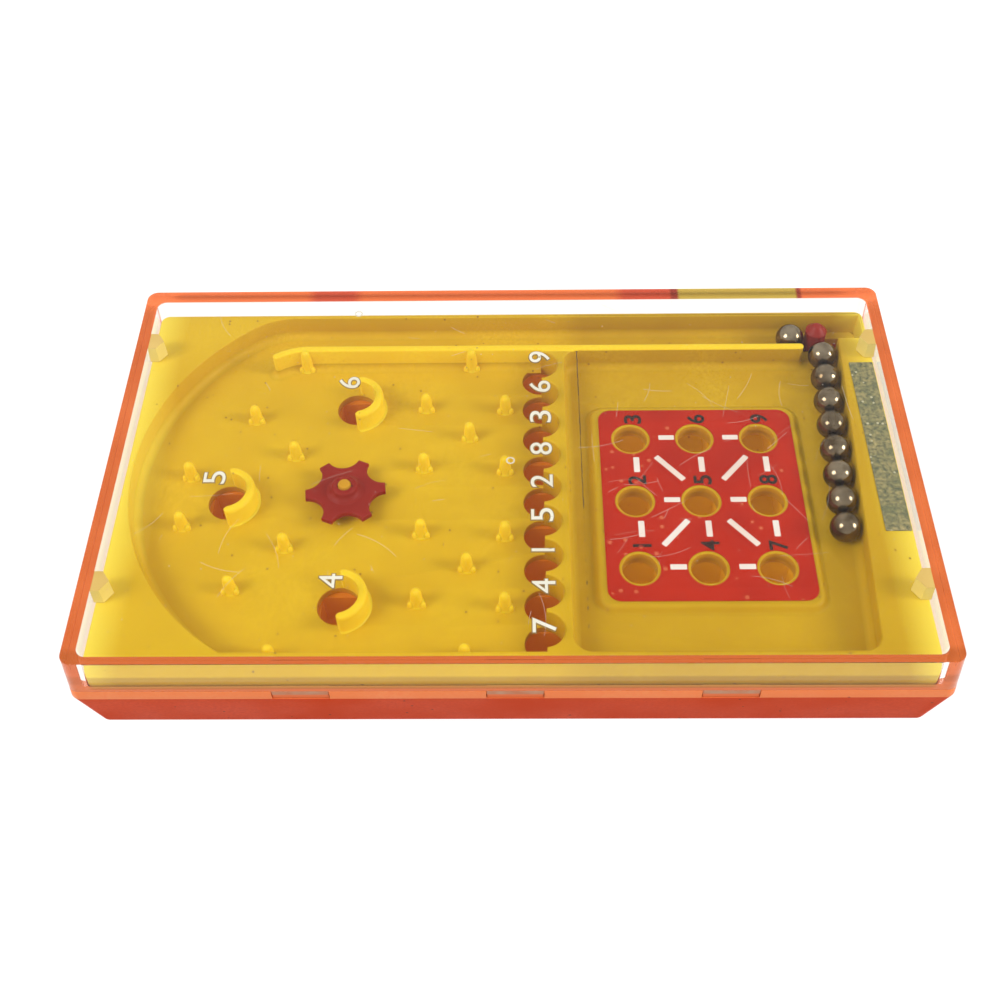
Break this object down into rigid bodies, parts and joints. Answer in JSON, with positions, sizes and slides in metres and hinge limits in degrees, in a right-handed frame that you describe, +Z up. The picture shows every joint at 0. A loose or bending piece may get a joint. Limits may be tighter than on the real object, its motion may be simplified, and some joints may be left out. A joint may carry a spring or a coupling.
{
  "type": "pocket ball game",
  "caption": "Hand-held bagatelle in a clear-topped case: a sprung striker sends steel balls along a lane, through pins into numbered pockets.",
  "frame": {"origin": "centre of the case on the surface that it rests on", "axes": "+X along the case towards the ball trough, +Y towards the striker's side, +Z up"},
  "size_m": [0.12, 0.0748, 0.0171],
  "materials": {
    "orange_plastic": "gloss",
    "yellow_plastic": "satin",
    "clear_plastic": "polished",
    "red_plastic": "satin",
    "spring_steel": "satin",
    "ball_steel": "polished",
    "label_red": "satin",
    "strip_grey": "matte"
  },
  "bodies": {
    "case": {"base_case": "orange_plastic", "play_deck": "yellow_plastic", "number_pad": "yellow_plastic", "clear_cover": "clear_plastic", "number_label": "label_red", "strip_label": "strip_grey", "striker_spring": "spring_steel"},
    "wheel": {"star_wheel": "red_plastic"},
    "striker": {"striker": "red_plastic"},
    "ball_1": {"ball_1": "ball_steel"},
    "ball_2": {"ball_2": "ball_steel"},
    "ball_3": {"ball_3": "ball_steel"},
    "ball_4": {"ball_4": "ball_steel"},
    "ball_5": {"ball_5": "ball_steel"},
    "ball_6": {"ball_6": "ball_steel"},
    "ball_7": {"ball_7": "ball_steel"},
    "ball_8": {"ball_8": "ball_steel"},
    "ball_9": {"ball_9": "ball_steel"}
  },
  "joints": [
    {"name": "striker_slide", "type": "slide", "parent": "case", "child": "striker", "axis": [1, 0, 0], "range_m": [0, 0.0053], "stiffness_N_per_m": 80, "springref_m": -0.003, "deforming": ["striker_spring"]},
    {"name": "wheel_spin", "type": "hinge", "parent": "case", "child": "wheel", "pos_m": [-0.0248, -0.00195, 0.01], "axis": [0, 0, 1], "continuous": true},
    {"name": "ball_1_roll", "type": "slide", "parent": "case", "child": "ball_1", "axis": [-0.0501, -0.9987, 0], "range_m": [0, 0.0188]},
    {"name": "ball_2_roll", "type": "slide", "parent": "case", "child": "ball_2", "axis": [-0.0501, -0.9987, 0], "range_m": [0, 0.0188]},
    {"name": "ball_3_roll", "type": "slide", "parent": "case", "child": "ball_3", "axis": [-0.0501, -0.9987, 0], "range_m": [0, 0.0188]},
    {"name": "ball_4_roll", "type": "slide", "parent": "case", "child": "ball_4", "axis": [-0.0501, -0.9987, 0], "range_m": [0, 0.0188]},
    {"name": "ball_5_roll", "type": "slide", "parent": "case", "child": "ball_5", "axis": [-0.0501, -0.9987, 0], "range_m": [0, 0.0188]},
    {"name": "ball_6_roll", "type": "slide", "parent": "case", "child": "ball_6", "axis": [-0.0501, -0.9987, 0], "range_m": [0, 0.0188]},
    {"name": "ball_7_roll", "type": "slide", "parent": "case", "child": "ball_7", "axis": [-0.0501, -0.9987, 0], "range_m": [0, 0.0188]},
    {"name": "ball_8_roll", "type": "slide", "parent": "case", "child": "ball_8", "axis": [-0.0501, -0.9987, 0], "range_m": [0, 0.0188]},
    {"name": "ball_9_shot", "type": "slide", "parent": "case", "child": "ball_9", "axis": [-1, 0, 0], "range_m": [0, 0.075]}
  ],
  "couplings": [
    {"joint": "ball_2_roll", "follows": "ball_1_roll", "ratio": 1},
    {"joint": "ball_3_roll", "follows": "ball_1_roll", "ratio": 1},
    {"joint": "ball_4_roll", "follows": "ball_1_roll", "ratio": 1},
    {"joint": "ball_5_roll", "follows": "ball_1_roll", "ratio": 1},
    {"joint": "ball_6_roll", "follows": "ball_1_roll", "ratio": 1},
    {"joint": "ball_7_roll", "follows": "ball_1_roll", "ratio": 1},
    {"joint": "ball_8_roll", "follows": "ball_1_roll", "ratio": 1}
  ]
}
